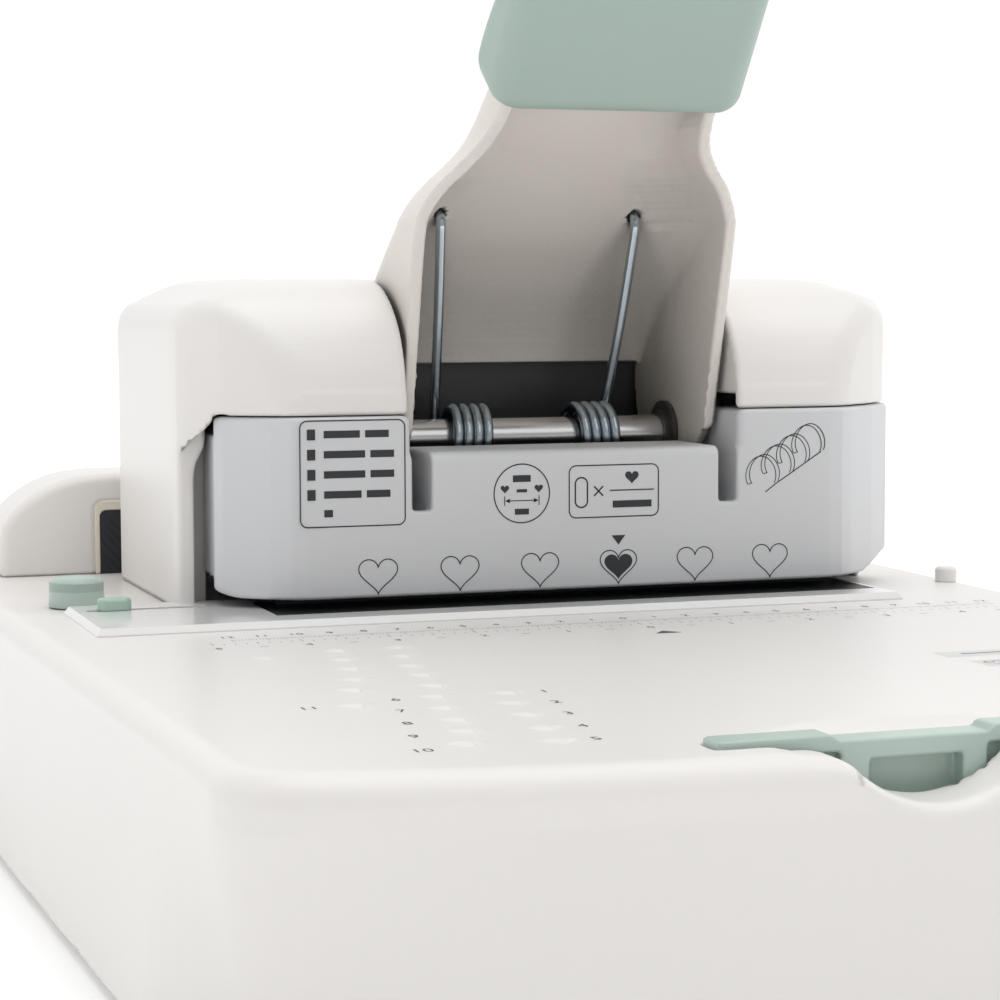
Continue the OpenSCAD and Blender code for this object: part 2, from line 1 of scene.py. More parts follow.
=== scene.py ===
import bpy, bmesh, math
import numpy as np
from mathutils import Vector, Matrix
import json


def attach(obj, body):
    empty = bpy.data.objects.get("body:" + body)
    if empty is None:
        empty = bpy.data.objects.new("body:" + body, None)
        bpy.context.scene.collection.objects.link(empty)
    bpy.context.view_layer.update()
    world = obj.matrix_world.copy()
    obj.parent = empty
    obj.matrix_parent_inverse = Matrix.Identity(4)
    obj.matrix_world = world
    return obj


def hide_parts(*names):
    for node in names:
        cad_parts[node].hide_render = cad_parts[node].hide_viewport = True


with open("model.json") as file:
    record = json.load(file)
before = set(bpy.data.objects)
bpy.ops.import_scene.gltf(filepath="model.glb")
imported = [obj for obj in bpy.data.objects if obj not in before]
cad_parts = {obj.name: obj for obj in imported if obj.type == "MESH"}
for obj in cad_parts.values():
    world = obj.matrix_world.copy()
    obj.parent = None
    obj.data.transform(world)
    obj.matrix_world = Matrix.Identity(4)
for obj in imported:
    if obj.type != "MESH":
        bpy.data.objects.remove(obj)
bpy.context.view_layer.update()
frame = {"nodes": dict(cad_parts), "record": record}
MM = 0.001
HX = 13.0          # middle of the head
PY, PZ = 82.0, 118.9   # lever axis
DECK = 68.5

# ------------------------------------------------------------------ implicit shapes
def rmax(a, b, r):
    """intersection of two solids with a round edge of radius r"""
    u = np.maximum(a + r, 0.0); v = np.maximum(b + r, 0.0)
    return np.minimum(np.maximum(a, b), -r) + np.sqrt(u * u + v * v)

def rmin(a, b, r):
    """union with a round inside corner"""
    u = np.maximum(r - a, 0.0); v = np.maximum(r - b, 0.0)
    return np.maximum(np.minimum(a, b), r) - np.sqrt(u * u + v * v)

def rcut(a, b, r):
    return rmax(a, -b, r)

def box2(u, v, u0, u1, v0, v1, r=0.0):
    du = np.abs(u - (u0 + u1) / 2) - (u1 - u0) / 2 + r
    dv = np.abs(v - (v0 + v1) / 2) - (v1 - v0) / 2 + r
    return np.sqrt(np.maximum(du, 0) ** 2 + np.maximum(dv, 0) ** 2) + np.minimum(np.maximum(du, dv), 0) - r

def box3(x, y, z, lo, hi, r=0.0):
    dx = np.abs(x - (lo[0] + hi[0]) / 2) - (hi[0] - lo[0]) / 2 + r
    dy = np.abs(y - (lo[1] + hi[1]) / 2) - (hi[1] - lo[1]) / 2 + r
    dz = np.abs(z - (lo[2] + hi[2]) / 2) - (hi[2] - lo[2]) / 2 + r
    out = np.sqrt(np.maximum(dx, 0) ** 2 + np.maximum(dy, 0) ** 2 + np.maximum(dz, 0) ** 2)
    return out + np.minimum(np.maximum(np.maximum(dx, dy), dz), 0) - r

def poly(u, v, pts):
    """signed distance to a closed polygon, negative inside"""
    u, v = np.broadcast_arrays(u, v)
    d = np.full(u.shape, 1e18); s = np.ones(u.shape)
    n = len(pts); j = n - 1
    for i in range(n):
        ax, ay = pts[i]; bx, by = pts[j]
        ex, ey = bx - ax, by - ay
        wx, wy = u - ax, v - ay
        t = np.clip((wx * ex + wy * ey) / (ex * ex + ey * ey + 1e-12), 0, 1)
        d = np.minimum(d, (wx - ex * t) ** 2 + (wy - ey * t) ** 2)
        c1 = v >= ay; c2 = v < by; c3 = ex * wy > ey * wx
        flip = (c1 & c2 & c3) | (~c1 & ~c2 & ~c3)
        s = np.where(flip, -s, s)
        j = i
    return s * np.sqrt(d)

def spline(pts, n):
    """smooth curve through points"""
    p = np.array(pts, float); out = []
    P = np.vstack([2 * p[0] - p[1], p, 2 * p[-1] - p[-2]])
    for i in range(1, len(P) - 2):
        for k in range(n):
            t = k / n
            a, b, c, d = P[i - 1], P[i], P[i + 1], P[i + 2]
            out.append(0.5 * (2 * b + (c - a) * t + (2 * a - 5 * b + 4 * c - d) * t * t + (3 * b - a - 3 * c + d) * t ** 3))
    out.append(p[-1])
    return [tuple(q) for q in out]

def surface(f, lo, hi, h, newton=3, keep=None):
    """closed quad mesh of f = 0 by surface nets, with every vertex moved onto the surface"""
    n = [int(math.ceil((hi[k] - lo[k]) / h)) + 1 for k in range(3)]
    off = [0.137, 0.211, 0.173]
    ax = [lo[k] - h * off[k] + h * np.arange(n[k] + 1) for k in range(3)]
    X, Y, Z = ax[0][:, None, None], ax[1][None, :, None], ax[2][None, None, :]
    F = np.broadcast_to(f(X, Y, Z), (len(ax[0]), len(ax[1]), len(ax[2]))).astype(np.float32)
    F = np.where(F == 0, 1e-6, F)
    S = F < 0
    c = [S[i:S.shape[0] - 1 + i, j:S.shape[1] - 1 + j, k:S.shape[2] - 1 + k] for i in (0, 1) for j in (0, 1) for k in (0, 1)]
    cnt = sum(q.astype(np.int8) for q in c)
    act = (cnt > 0) & (cnt < 8)
    idx = -np.ones(act.shape, np.int64); cells = np.argwhere(act); idx[act] = np.arange(len(cells))
    P = np.zeros((len(cells), 3)); W = np.zeros(len(cells))
    corner = np.array([(i, j, k) for i in (0, 1) for j in (0, 1) for k in (0, 1)])
    for a in range(8):
        for b in range(a + 1, 8):
            if np.abs(corner[a] - corner[b]).sum() != 1: continue
            fa = F[tuple((cells + corner[a]).T)].astype(float); fb = F[tuple((cells + corner[b]).T)].astype(float)
            m = (fa < 0) != (fb < 0)
            t = np.where(m, fa / np.where(m, fa - fb, 1), 0)
            q = cells + corner[a] + (corner[b] - corner[a]) * t[:, None]
            P += np.where(m[:, None], q, 0); W += m
    P = P / W[:, None]
    V = np.stack([ax[k][0] + h * P[:, k] for k in range(3)], 1)
    start = V.copy()
    def g(Q):
        e = 0.02
        f0 = f(Q[:, 0], Q[:, 1], Q[:, 2])
        G = np.stack([(f(Q[:, 0] + e, Q[:, 1], Q[:, 2]) - f(Q[:, 0] - e, Q[:, 1], Q[:, 2])),
                      (f(Q[:, 0], Q[:, 1] + e, Q[:, 2]) - f(Q[:, 0], Q[:, 1] - e, Q[:, 2])),
                      (f(Q[:, 0], Q[:, 1], Q[:, 2] + e) - f(Q[:, 0], Q[:, 1], Q[:, 2] - e))], 1) / (2 * e)
        return f0, G
    for _ in range(newton):
        f0, G = g(V)
        g2 = np.maximum((G * G).sum(1), 0.05)
        V = V - (f0 / g2)[:, None] * G
        D = V - start; L = np.linalg.norm(D, axis=1); m = L > 0.8 * h
        V[m] = start[m] + D[m] * (0.8 * h / L[m])[:, None]
    f0, G = g(V)
    N = G / np.maximum(np.linalg.norm(G, axis=1), 1e-9)[:, None]
    faces = []
    for axis in range(3):
        sl = [slice(None)] * 3; sl2 = [slice(None)] * 3
        sl[axis] = slice(0, -1); sl2[axis] = slice(1, None)
        A, B = S[tuple(sl)], S[tuple(sl2)]
        E = np.argwhere(A != B)
        u, v = [k for k in range(3) if k != axis]
        E = E[(E[:, u] > 0) & (E[:, v] > 0) & (E[:, u] < S.shape[u] - 1) & (E[:, v] < S.shape[v] - 1)]
        inside = A[tuple(E.T)]
        def cell(du, dv):
            Q = E.copy(); Q[:, u] += du; Q[:, v] += dv
            return idx[tuple(Q.T)]
        q = np.stack([cell(-1, -1), cell(0, -1), cell(0, 0), cell(-1, 0)], 1)
        flip = inside if axis != 1 else ~inside
        q[~flip] = q[~flip][:, ::-1]
        faces.append(q)
    Q = np.vstack(faces)
    Q = Q[(Q >= 0).all(1)]
    return V, Q, N

COL = bpy.context.scene.collection

def mesh_object(name, V, Q, N=None, smooth=True):
    me = bpy.data.meshes.new(name)
    me.from_pydata((np.asarray(V) * MM).tolist(), [], [list(map(int, q)) for q in Q])
    me.validate()
    me.update()
    if smooth:
        me.polygons.foreach_set("use_smooth", [True] * len(me.polygons))
    if N is not None and len(me.vertices) == len(N):
        me.normals_split_custom_set_from_vertices([tuple(n) for n in N])
    ob = bpy.data.objects.new(name, me); COL.objects.link(ob)
    return ob

def implicit(name, f, lo, hi, h, body, mat, slot, *nodes, **kw):
    V, Q, N = surface(f, lo, hi, h, **kw)
    ob = mesh_object(name, V, Q, N)
    ob.data.materials.append(mat)
    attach(ob, body)
    if nodes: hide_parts(*nodes)
    return ob

# ------------------------------------------------------------------ materials
def srgb(r, g, b):
    def c(v):
        v /= 255.0
        return v / 12.92 if v <= 0.04045 else ((v + 0.055) / 1.055) ** 2.4
    return (c(r), c(g), c(b))

def material(name, col, rough=0.4, var=0.03, metal=0.0, grain=900.0, bump=0.06, coat=0.0, spec=0.5, rough_var=0.06, sub=0.0, mottle=18.0, stretch=None, fine=None):
    m = bpy.data.materials.new(name); m.use_nodes = True
    nt = m.node_tree; nd = nt.nodes; ln = nt.links
    b = nd["Principled BSDF"]
    b.inputs["Metallic"].default_value = metal
    b.inputs["Specular IOR Level"].default_value = spec
    b.inputs["Coat Weight"].default_value = coat
    b.inputs["Coat Roughness"].default_value = 0.12
    tc = nd.new("ShaderNodeTexCoord"); mp = nd.new("ShaderNodeMapping")
    if stretch: mp.inputs["Scale"].default_value = stretch
    ln.new(tc.outputs["Object"], mp.inputs["Vector"])
    big = nd.new("ShaderNodeTexNoise"); big.inputs["Scale"].default_value = mottle; big.inputs["Detail"].default_value = 4
    ln.new(mp.outputs["Vector"], big.inputs["Vector"])
    sm = nd.new("ShaderNodeTexNoise"); sm.inputs["Scale"].default_value = grain; sm.inputs["Detail"].default_value = 3
    ln.new(mp.outputs["Vector"], sm.inputs["Vector"])
    mix = nd.new("ShaderNodeMix"); mix.data_type = "RGBA"
    lo = tuple(max(0, c * (1 - var)) for c in col) + (1,); hi = tuple(min(1, c * (1 + var)) for c in col) + (1,)
    mix.inputs[6].default_value = lo; mix.inputs[7].default_value = hi
    ln.new(big.outputs["Fac"], mix.inputs[0]); ln.new(mix.outputs[2], b.inputs["Base Color"])
    mr = nd.new("ShaderNodeMapRange")
    mr.inputs["From Min"].default_value = 0.3; mr.inputs["From Max"].default_value = 0.7
    mr.inputs["To Min"].default_value = rough - rough_var / 2; mr.inputs["To Max"].default_value = rough + rough_var / 2
    ln.new(sm.outputs["Fac"], mr.inputs["Value"]); ln.new(mr.outputs["Result"], b.inputs["Roughness"])
    bp = nd.new("ShaderNodeBump"); bp.inputs["Strength"].default_value = bump; bp.inputs["Distance"].default_value = 0.0002
    ln.new(sm.outputs["Fac"], bp.inputs["Height"]); ln.new(bp.outputs["Normal"], b.inputs["Normal"])
    return m

WHITE = material("shell_white", srgb(229, 226, 223), rough=0.38, var=0.012, bump=0.05, coat=0.06)
LEVER = material("lever_white", srgb(222, 216, 209), rough=0.40, var=0.012, bump=0.05, coat=0.05)
PANEL = material("panel_grey", srgb(208, 209, 211), rough=0.42, var=0.012, bump=0.08)
THROAT = material("throat_white", srgb(228, 228, 228), rough=0.16, var=0.01, bump=0.02, coat=0.3)
MINT = material("grip_mint", srgb(160, 178, 170), rough=0.5, var=0.02, bump=0.12, grain=1400)
MINT2 = material("grip_mint_light", srgb(176, 194, 186), rough=0.36, var=0.02, bump=0.06, coat=0.2)
ACCENT = material("accent_mint", srgb(166, 194, 178), rough=0.34, var=0.02, bump=0.04, coat=0.2)
CREAM = material("bezel_cream", srgb(226, 220, 204), rough=0.4, var=0.02)
BLACK = material("black_plastic", srgb(32, 33, 35), rough=0.45, var=0.1)
PAD = material("pad_black", srgb(34, 38, 44), rough=0.5, var=0.12, bump=0.2)
DIE = material("die_steel", srgb(46, 49, 52), rough=0.34, var=0.12, metal=0.7, stretch=(1, 12, 12), grain=300)
FRAME = material("frame_steel", srgb(150, 152, 156), rough=0.36, var=0.08, metal=1.0, stretch=(1, 10, 10), grain=260)
BRIGHT = material("bright_steel", srgb(205, 205, 206), rough=0.22, var=0.06, metal=1.0, stretch=(1, 25, 25), grain=200, bump=0.05)
SPRING = material("spring_steel", srgb(176, 187, 194), rough=0.24, var=0.1, metal=1.0, grain=500, bump=0.05)
ZINC = material("zinc_steel", srgb(178, 180, 184), rough=0.3, var=0.08, metal=1.0)
BRONZE = material("bush_bronze", srgb(176, 142, 82), rough=0.36, var=0.1, metal=1.0)
DARKW = material("washer_dark", srgb(62, 58, 56), rough=0.45, var=0.1)
RUBBER = material("rubber_black", srgb(34, 34, 34), rough=0.7, var=0.1, bump=0.2)
GREY = material("cover_grey", srgb(176, 176, 174), rough=0.5, var=0.03, bump=0.15)
INK = material("print_ink", srgb(40, 42, 46), rough=0.5, var=0.08)
INKGREY = material("print_grey", srgb(66, 68, 72), rough=0.5, var=0.08)
INKPALE = material("print_pale", srgb(212, 212, 213), rough=0.45, var=0.02)

def shade_hollow(m, dist, low):
    """painted shade: the colour is darkened by ambient occlusion where the surface faces into its own hollow"""
    nt = m.node_tree; b = nt.nodes["Principled BSDF"]
    src = b.inputs["Base Color"].links[0].from_socket
    ao = nt.nodes.new("ShaderNodeAmbientOcclusion"); ao.inputs["Distance"].default_value = dist; ao.samples = 8
    mr = nt.nodes.new("ShaderNodeMapRange")
    mr.inputs["From Min"].default_value = 0.10; mr.inputs["From Max"].default_value = 0.42
    mr.inputs["To Min"].default_value = low; mr.inputs["To Max"].default_value = 1.0
    mx = nt.nodes.new("ShaderNodeMix"); mx.data_type = "RGBA"; mx.blend_type = "MULTIPLY"; mx.inputs[0].default_value = 1.0
    cb = nt.nodes.new("ShaderNodeCombineColor")
    nt.links.new(ao.outputs["AO"], mr.inputs["Value"])
    for k in range(3): nt.links.new(mr.outputs["Result"], cb.inputs[k])
    nt.links.new(src, mx.inputs[6]); nt.links.new(cb.outputs[0], mx.inputs[7]); nt.links.new(mx.outputs[2], b.inputs["Base Color"])
# painted shade inside the channel of the lever
shade_hollow(LEVER, 0.10, 0.22)

SLOT_MAT = {"shell_white": WHITE, "cover_grey": GREY, "rubber_black": RUBBER, "zinc_steel": ZINC, "frame_steel": FRAME, "throat_white": THROAT,
            "die_steel": DIE, "black_plastic": BLACK, "bright_steel": BRIGHT, "panel_grey": PANEL, "bush_bronze": BRONZE, "bezel_cream": CREAM,
            "pad_black": PAD, "washer_dark": DARKW, "lever_white": LEVER, "grip_mint": MINT, "accent_mint": ACCENT, "spring_steel": SPRING}
for row in frame["record"]["subparts"]:
    ob = frame["nodes"][row["node"]]
    m = SLOT_MAT[row["material_slot"]]
    if not ob.material_slots: ob.data.materials.append(m)
    for s in ob.material_slots: s.material = m

# ------------------------------------------------------------------ base
def hw(y): return 156.9 + (y + 43) * 0.0263
def arc(cx, cy, r, a0, a1, n): return [(cx + r * math.cos(math.radians(a0 + (a1 - a0) * i / n)), cy + r * math.sin(math.radians(a0 + (a1 - a0) * i / n))) for i in range(n + 1)]
def outline(rf, n=10):
    xc = hw(-180) - rf; yc = 399 - math.sqrt((620 - rf) ** 2 - xc * xc); a = math.degrees(math.acos(xc / (620 - rf))); xt = xc * 620 / (620 - rf)
    p = arc(xc, yc, rf, 0, -a, n)
    p += [(xt * (1 - i / 12), 399 - math.sqrt(620 ** 2 - (xt * (1 - i / 12)) ** 2)) for i in range(1, 24)]
    p += arc(-xc, yc, rf, 180 + a, 180, n)
    p += arc(-(hw(203) - 18), 203, 18, 180, 90, 6) + arc(hw(203) - 18, 203, 18, 90, 0, 6)
    return p
TOP_OUT = outline(22); BOT_OUT = outline(80, 14)

def zlip(x):
    """height of the finger notch across the machine"""
    d = np.abs(x + 1.5)
    a = 56.5 + 30 - np.sqrt(np.maximum(900 - np.minimum(d, 20.5) ** 2, 1))
    t = np.clip(d - 20.5, 0, 9.84)
    b = 68.5 + 0.4 - (14.4 - np.sqrt(np.maximum(14.4 ** 2 - (9.84 - t) ** 2, 0)))
    return np.where(d < 20.5, a, b) + np.maximum(d - 30.34, 0) * 0.6

BUMPS = []
for c in ([(-78, -121), (-81.6, -135.5), (-84, -152), (-86.6, -170), (-89.4, -186)],
          [(-80, -36), (-83.6, -53), (-86.5, -70.5), (-88.4, -86), (-91, -103.6), (-95.6, -120), (-99, -136.6), (-101, -153), (-104, -168), (-109, -183)],
          [(-97, -37), (-100, -54), (-102.5, -70), (-106.6, -88), (-111.7, -104), (-117.4, -126.7)], [(-118.7, -44)]):
    BUMPS += [(x + 14, y + 2) for x, y in c]

def base_f(x, y, z):
    dt = poly(x, y, TOP_OUT); db = poly(x, y, BOT_OUT) - 7.2
    t = np.clip((57 - z) / 54.5, 0, 1)
    side = dt * (1 - t) + db * t
    d = rmax(side, z - DECK, 7.0)
    d = rmax(d, 2.5 - z, 1.2)
    # finger notch
    slope = 1.0 / np.sqrt(1 + (np.clip(np.abs(x + 1.5), 0, 20.5) / 30) ** 2)
    notch = np.maximum((zlip(x) - z) * slope, y + 199)
    d = rcut(d, notch, 3.5)
    # shallow scoop behind the carry handle
    k0 = np.sqrt(((x + 1.5) / 30) ** 2 + ((y + 196) / 15) ** 2 + ((z - 69.6) / 3.4) ** 2)
    k1 = np.sqrt(((x + 1.5) / 900) ** 2 + ((y + 196) / 225) ** 2 + ((z - 69.6) / 11.56) ** 2)
    d = rcut(d, k0 * (k0 - 1) / np.maximum(k1, 1e-4), 1.5)
    # slot and well of the carry handle
    d = rcut(d, box3(x, y, z, (-48.6, -205.6, 40), (46.6, -195.4, 90), 0.6), 0.8)
    d = np.maximum(d, -box3(x, y, z, (-49.8, -205.6, 14), (47.8, -191.2, 65.95)))
    # dish of the size knob and its bore
    d = rcut(d, np.sqrt((x + 132.3) ** 2 + (y - 96) ** 2 + (z - (DECK - 1.2 + 121)) ** 2) - 121, 2.0)
    d = np.maximum(d, -np.maximum(np.sqrt((x + 132.3) ** 2 + (y - 96) ** 2) - 3.6, 50 - z))
    d = np.maximum(d, -np.maximum(np.sqrt((x + 132.3) ** 2 + (y - 96) ** 2) - 7, np.maximum(49 - z, z - 53)))
    # slot of the edge slider
    d = np.maximum(d, -box3(x, y, z, (-137, 54.7, 58), (-98, 59.3, 80)))
    d = np.maximum(d, -box3(x, y, z, (-139, 50, 58), (-95, 64, 66.0)))
    # chip hole, tray and bottom recess
    d = np.maximum(d, -box3(x, y, z, (HX - 56, 33, 45), (HX + 56, 52, 80)))
    d = rcut(d, box3(x, y, z, (-122, 20.4, 21.4), (190, 69.6, 50.6)), 0.8)
    d = np.maximum(d, -np.maximum(poly(x, y, BOT_OUT) + 1.2, z - 6.5))
    # recess of the frame plate
    d = np.maximum(d, -box3(x, y, z, (HX - 95.5, 56.5, 57), (HX + 95.5, 117, 65.4)))
    return d

def build_base():
    h = 1.7
    implicit("base_shell_skin", base_f, (-174, -232, 0.5), (174, 232, 72), h, "root", WHITE, "shell_white", "base_shell")

# ------------------------------------------------------------------ head casing
PLAN = [(-91, 38.2), (-86, 36.3), (-79, 35.8), (79, 35.8), (86, 36.3), (91, 38.2), (96, 41.4), (109.5, 52.3), (121, 64), (121, 162), (-121, 162), (-121, 72), (-120.2, 66), (-109.2, 51.6), (-96, 41.4)]
SIDE = spline([(36.5, 20), (36.5, 126), (37.6, 136), (40.6, 146.5), (46, 155.5), (54, 162.6), (64, 167.6), (74, 170.2), (86, 171)], 5) + [(162, 171), (162, 20)]
FRONT = [(-121, 20), (-121, 154), (-119.6, 158.2), (-116, 161.6), (-99, 169.4), (-92, 171), (92, 171), (99, 169.4), (116, 161.6), (119.6, 158.2), (121, 154), (121, 20)]

def inset(pts, r):
    """polygon moved in by r, so that growing it again rounds its corners"""
    out = []; n = len(pts)
    area = sum(pts[i][0] * pts[(i + 1) % n][1] - pts[(i + 1) % n][0] * pts[i][1] for i in range(n))
    s = 1 if area > 0 else -1
    for i in range(n):
        a, b, c = np.array(pts[i - 1], float), np.array(pts[i], float), np.array(pts[(i + 1) % n], float)
        e1 = (b - a) / np.linalg.norm(b - a); e2 = (c - b) / np.linalg.norm(c - b)
        n1 = s * np.array([-e1[1], e1[0]]); n2 = s * np.array([-e2[1], e2[0]])
        m = n1 + n2; m /= max(0.2, m.dot(n1)) if abs(m.dot(n1)) > 0.2 else 1
        out.append(tuple(b + r * m))
    return out

PLAN_I = inset(PLAN, 4.0); FRONT_I = inset(FRONT, 4.0)

def head_solid(x, y, z, k=0.0):
    u = x - HX
    a = poly(u, y, PLAN_I) - 4 + k
    b = poly(y, z, SIDE) + k
    c = poly(u, z, FRONT_I) - 4 + k
    return rmax(rmax(a, b, max(1.0, 4.0 - k)), c, max(1.0, 5.0 - k))

def casing_f(x, y, z):
    u = x - HX; au = np.abs(u)
    d = head_solid(x, y, z)
    # well of the lever
    d = rcut(d, box2(au, y, -10, 54.4, -60, 113, 3.0), 1.6)
    # open front under the humps; the left wall comes forward beside the cover
    arch = poly(u, z, [(-114, 20), (-114, 110), (-113.2, 113.6), (-110.8, 118.2), (-110.3, 121), (-110.3, 128.6), (200, 128.6), (200, 20)])
    d = rcut(d, np.maximum(y - 79, arch), 1.2)
    d = rcut(d, np.maximum(np.maximum(y - 65.5, (z - 128.6 - 1.25 * np.clip(u + 109.0, -11, 0)) * 0.75), u + 107.0), 1.0)
    hollow = head_solid(x, y, z, 3.4)
    hollow = np.maximum(hollow, -box3(u, y, z, (-130, 40, 20), (-110, 69.5, 131)))
    hollow = np.maximum(hollow, -box3(u, y, z, (-130, 75, 20), (-107.5, 83, 131)))
    hollow = np.maximum(hollow, -box3(au, y, z, (54.4, -60, 133), (57.8, 116.4, 200)))
    hollow = np.maximum(hollow, -box3(au, y, z, (-5, 113, 133), (57.8, 116.4, 200)))
    d = np.maximum(d, -hollow)
    d = rcut(d, box3(x, y, z, (HX - 88.5, 150, DECK + 1), (HX + 88.5, 180, 98), 1.0), 0.8)
    return rmax(d, DECK + 0.05 - z, 0.4)

# ------------------------------------------------------------------ front cover
FPLAN = [(-96, 40.9), (-91, 37.4), (-86, 36.1), (-80, 35.9), (80, 35.9), (86, 36.1), (91, 37.4), (96, 40.9), (109.5, 52.6), (121, 64.2), (121, 77), (-110, 77), (-110, 56), (-108.4, 52.4)]
FPLAN_I = inset(FPLAN, 2.2)
FSIDE = [(30, 73.2), (54, 73.2), (58, 74.6), (61.5, 77.4), (66, 78.9), (90, 78.9), (90, 128.2), (30, 128.2)]

def front_solid(x, y, z, k=0.0):
    u = x - HX
    a = poly(u, y, FPLAN_I) - 2.2 + k
    b = poly(y, z, FSIDE) + k
    return rmax(a, b, 1.4)

def cover_f(x, y, z):
    u = x - HX; au = np.abs(u)
    d = front_solid(x, y, z)
    # the left side steps in behind its front corner
    d = rcut(d, np.maximum(u + 108.8, 58.5 - y), 1.0)
    d = rcut(d, np.maximum(box2(u, z, -125, -104.5, 122.5, 150), 57 - y), 1.0)
    d = rmax(d, 74.4 - z + 0.35 * np.maximum(np.abs(u) - 104, 0) - 1.2, 1.5)
    top = box2(au, z, -60, 53.5, 117, 160, 0.0) + 0 * y
    d = rcut(d, top, 3.0)
    hollow = rmax(poly(u, y, FPLAN_I) - 2.2 + 3.0, z - 124.6, 1.0)
    hollow = np.maximum(hollow, -box3(u, y, z, (-130, 40, 20), (-104.2, 90, 140)))
    hollow = np.where(au < 53.6, np.maximum(hollow, z - 114.2), hollow)
    hollow = np.maximum(hollow, -box3(au, y, z, (53.4, 20, 97.0), (56.0, 66, 160)))
    hollow = np.maximum(hollow, -box3(au, y, z, (44.6, 20, 97.0), (47.3, 67, 117)))
    hollow = np.maximum(hollow, -box3(au, y, z, (44.6, 20, 96.6), (56.0, 44, 99.3)))
    d = np.maximum(d, -hollow)
    # notches for the walls of the lever
    d = rcut(d, box2(au, z, 47.3, 53.5, 99.3, 180, 1.2) + 0 * y, 1.0)
    d = np.maximum(d, -box3(au, y, z, (56.4, 60, 60), (61.6, 90, 140)))
    # open behind
    d = np.maximum(d, -box2(u, y, -104, 117.6, 66.9, 120))
    return rmax(d, y - 76.8, 0.6)

# ------------------------------------------------------------------ lever
A_FRONT = spline([(51.5, 121), (49, 131.5), (42, 158.5), (37.5, 176), (33.5, 188.5), (28.5, 197.5), (22, 206.5), (11, 216.5), (4.0, 225)], 5)
A_REAR = spline([(26, 232), (35, 226), (48, 215.5), (64, 202.5), (82, 186), (97, 171), (106, 157), (109.6, 142), (107.5, 125), (99, 110), (86, 104), (74, 104.4), (62, 112), (53, 121)], 5)
A_REARCUT = [(-300, 260), (-60, 330)] + A_REAR + [(-300, 100)]
A_FRONTCUT = [(52.5, 90), (300, 90), (300, 330), (-40, 330), (-3, 232)] + A_FRONT[::-1] + [(51.8, 118)]
A_HALF = spline([(52.4, 90), (52.5, 150), (52.6, 182), (51.2, 190), (47.2, 197), (41.8, 203), (37.4, 208.5), (35.0, 214), (34.2, 220), (34.2, 250)], 4)

def half_at(z):
    zz = np.array([p[1] for p in A_HALF]); ww = np.array([p[0] for p in A_HALF])
    return np.interp(z, zz, ww)

def arm_f(x, y, z):
    u = np.abs(x - HX)
    w = half_at(z)
    sl = (half_at(z + 0.5) - half_at(z - 0.5))
    du = (u - w) / np.sqrt(1 + sl * sl)
    rear = poly(y, z, A_REARCUT)
    front = poly(y, z, A_FRONTCUT)
    R = np.interp(z, [135, 155, 185, 215], [3.0, 14.0, 24.0, 12.0])
    d = rmax(rear, du, R)
    outer = d
    inner = rmax(rear + 3.8, du + 3.8, np.maximum(R - 4, 2))
    inner = np.maximum(inner, 141.5 - z)
    low = np.maximum(du + 3.9, z - 141.7)
    d = rmax(d, front, 1.2)
    d = rmax(d, -inner, 0.9)
    d = np.maximum(d, -low)
    # bosses that hold the springs
    b = np.maximum(np.sqrt((u - 33) ** 2 + (z - (PZ + 71.1)) ** 2) - 3.4, np.maximum(PY - 8.5 - y, y - 80.5))
    d = rmin(d, np.maximum(b, outer + 1.6), 0.5)
    d = np.maximum(d, -np.maximum(np.sqrt((u - 33) ** 2 + (z - (PZ + 71.1)) ** 2) - 1.8, np.maximum(y - 76, 1.4 + outer)))
    # bore of the shaft
    d = np.maximum(d, -(np.sqrt((y - PY) ** 2 + (z - PZ) ** 2) - 6.0) + 0 * x)
    # ends inside the grip
    s, c = math.sin(math.radians(38)), math.cos(math.radians(38))
    zl = -(y - 1) * s + (z - 216.5) * c
    yl = (y - 1) * c + (z - 216.5) * s
    d = np.maximum(d, zl - 9)
    d = np.where(zl > -2, np.maximum(d, box2(u, yl, -10, 35.0, 3.6, 28.0, 9.5)), d)
    return d

LEAN_S, LEAN_C = math.sin(math.radians(38)), math.cos(math.radians(38))
def grip_f(x, y, z):
    """in the grip's own frame: x across, y from front to back, z along it"""
    ax = np.abs(x)
    w = 39.5 - 0.012 * z
    back = 33 - 6.5 * np.clip((z - 6) / 40, 0, 1) ** 2 * (3 - 2 * np.clip((z - 6) / 40, 0, 1))
    a = rmax(rmax(ax - w, -y, 9.0), y - back, 14.5)
    d = rmax(a, z - 118, 10.0)
    d = rmax(d, -1.9 - z, 7.0)
    return np.maximum(d, -np.maximum(box2(ax, y, -10, 35.2, 3.4, 28.2, 9.5), z - 11))

# ------------------------------------------------------------------ rear housing
RH = [(-144.4, 60), (-144.4, 86.9), (-139.6, 92.1), (-134.7, 95.8), (-129.9, 98.3), (-125, 100.3), (-120, 101.7), (-115.4, 102.7), (-108, 103.3), (0, 103.3)]
RHS = spline([(-140.4, 60), (-140.4, 80), (-138.6, 86), (-133, 91.6), (-125.5, 96), (-117.5, 98.4), (-108, 99.3)], 4)
RHP = RHS + [(-x, z) for x, z in RHS[::-1]]
def rear_f(x, y, z):
    a = poly(x, z, RHP) - 4
    d = rmax(a, np.abs(y - 197) - 19, 3.4)
    hollow = rmax(poly(x, z, RHP) - 0.8, np.abs(y - 197.2) - 15.8, 1.0)
    for px, py in ((130, 197), (60, 207)):
        hollow = np.maximum(hollow, 4.5 - np.sqrt((np.abs(x) - px) ** 2 + (y - py) ** 2))
    d = np.maximum(d, -hollow)
    for px, py in ((130, 197), (60, 207)):
        d = np.maximum(d, -np.maximum(np.sqrt((np.abs(x) - px) ** 2 + (y - py) ** 2) - 1.6, z - 84))
    d = rcut(d, box3(x, y, z, (-112.4, 150, 40), (112.4, 179.7, 94.5), 3.0), 0.5)
    return rmax(d, DECK + 0.05 - z, 0.3)

